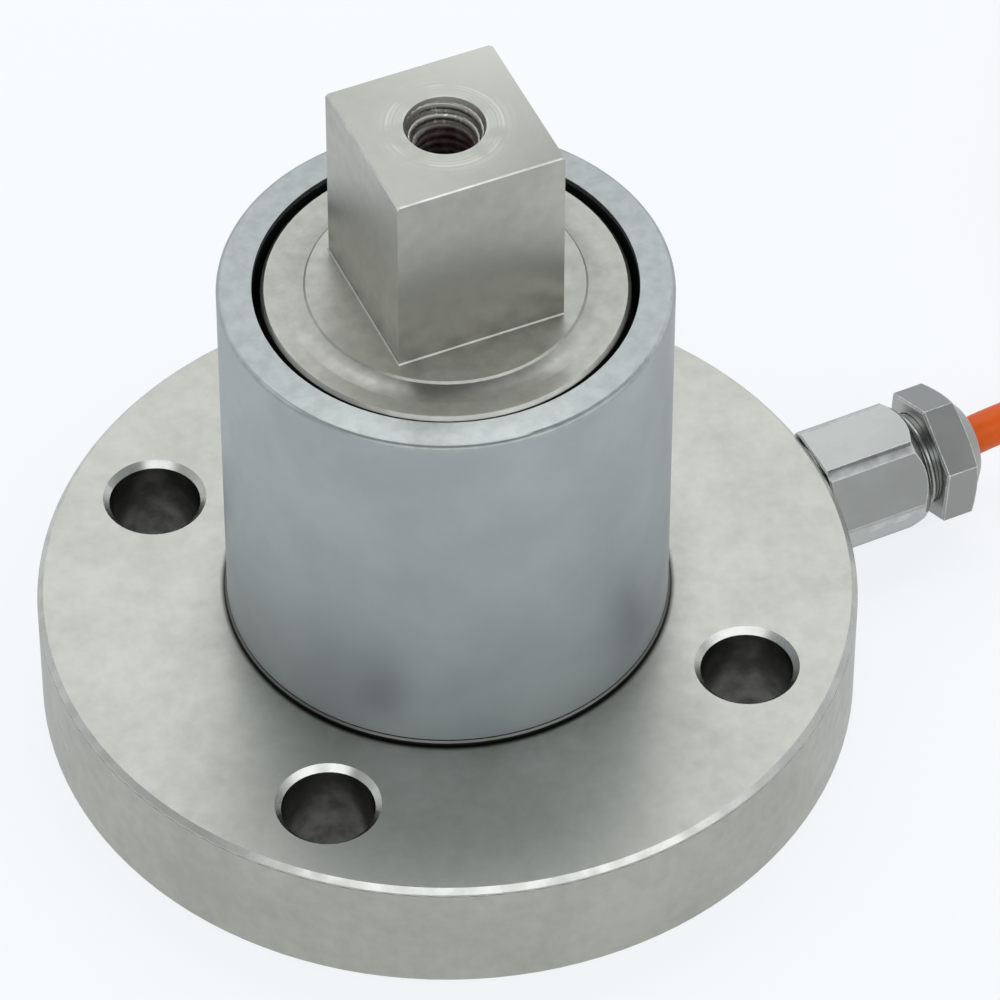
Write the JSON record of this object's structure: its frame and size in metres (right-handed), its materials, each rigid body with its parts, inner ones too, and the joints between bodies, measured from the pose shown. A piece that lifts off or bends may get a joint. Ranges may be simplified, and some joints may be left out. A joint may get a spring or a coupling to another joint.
{
  "type": "static torque sensor",
  "caption": "Static torque sensor: bolted round flange, measuring shaft inside a round sleeve, square drive with a screw hole, and a side cable gland with coiled cable.",
  "frame": {"origin": "centre of the flange's underside, on the torque axis", "axes": "+Z along the torque axis from the flange to the square drive; +X along the middle line between two bolt holes, on the cable gland's side; the square's sides are parallel to X and Y"},
  "size_m": [0.2799, 0.1408, 0.1114],
  "materials": {
    "nickel_steel": "satin nickel plate on turned steel",
    "zinc_steel": "satin bluish plate on turned steel",
    "nickel_brass": "bright nickel plate on turned brass",
    "black_rubber": "moulded nitrile rubber",
    "gauge_film": "amber backing film with etched foil",
    "silicone": "clear grey silicone coat",
    "board": "green solder mask on glass laminate",
    "solder": "tinned copper",
    "resistor": "moulded black resin",
    "copper_wire": "varnished copper wire",
    "orange_jacket": "smooth orange cable jacket",
    "shrink_black": "black shrink sleeve",
    "core_red": "smooth core insulation",
    "core_black": "smooth core insulation",
    "core_green": "smooth core insulation",
    "core_white": "smooth core insulation"
  },
  "bodies": {
    "root": {"spring_body": "nickel_steel", "protective_sleeve": "zinc_steel", "sleeve_seal_ring": "black_rubber", "gauge_coating": "silicone", "gauge_leads": "copper_wire", "terminal_board": "board", "solder_pads": "solder", "compensation_resistors": "resistor", "gland_gasket": "black_rubber", "gland_body": "nickel_brass", "gland_seal_bush": "black_rubber", "gland_thrust_washer": "nickel_brass", "gland_nut": "nickel_brass", "cable_entry": "orange_jacket", "cable_run": "orange_jacket", "cable_coil": "orange_jacket", "cable_tail": "orange_jacket", "cable_end_boot": "shrink_black", "free_core_tips": "solder", "strain_gauge_1": "gauge_film", "strain_gauge_2": "gauge_film", "strain_gauge_3": "gauge_film", "strain_gauge_4": "gauge_film", "core_red": "core_red", "free_core_red": "core_red", "core_black": "core_black", "free_core_black": "core_black", "core_green": "core_green", "free_core_green": "core_green", "core_white": "core_white", "free_core_white": "core_white"}
  },
  "joints": []
}
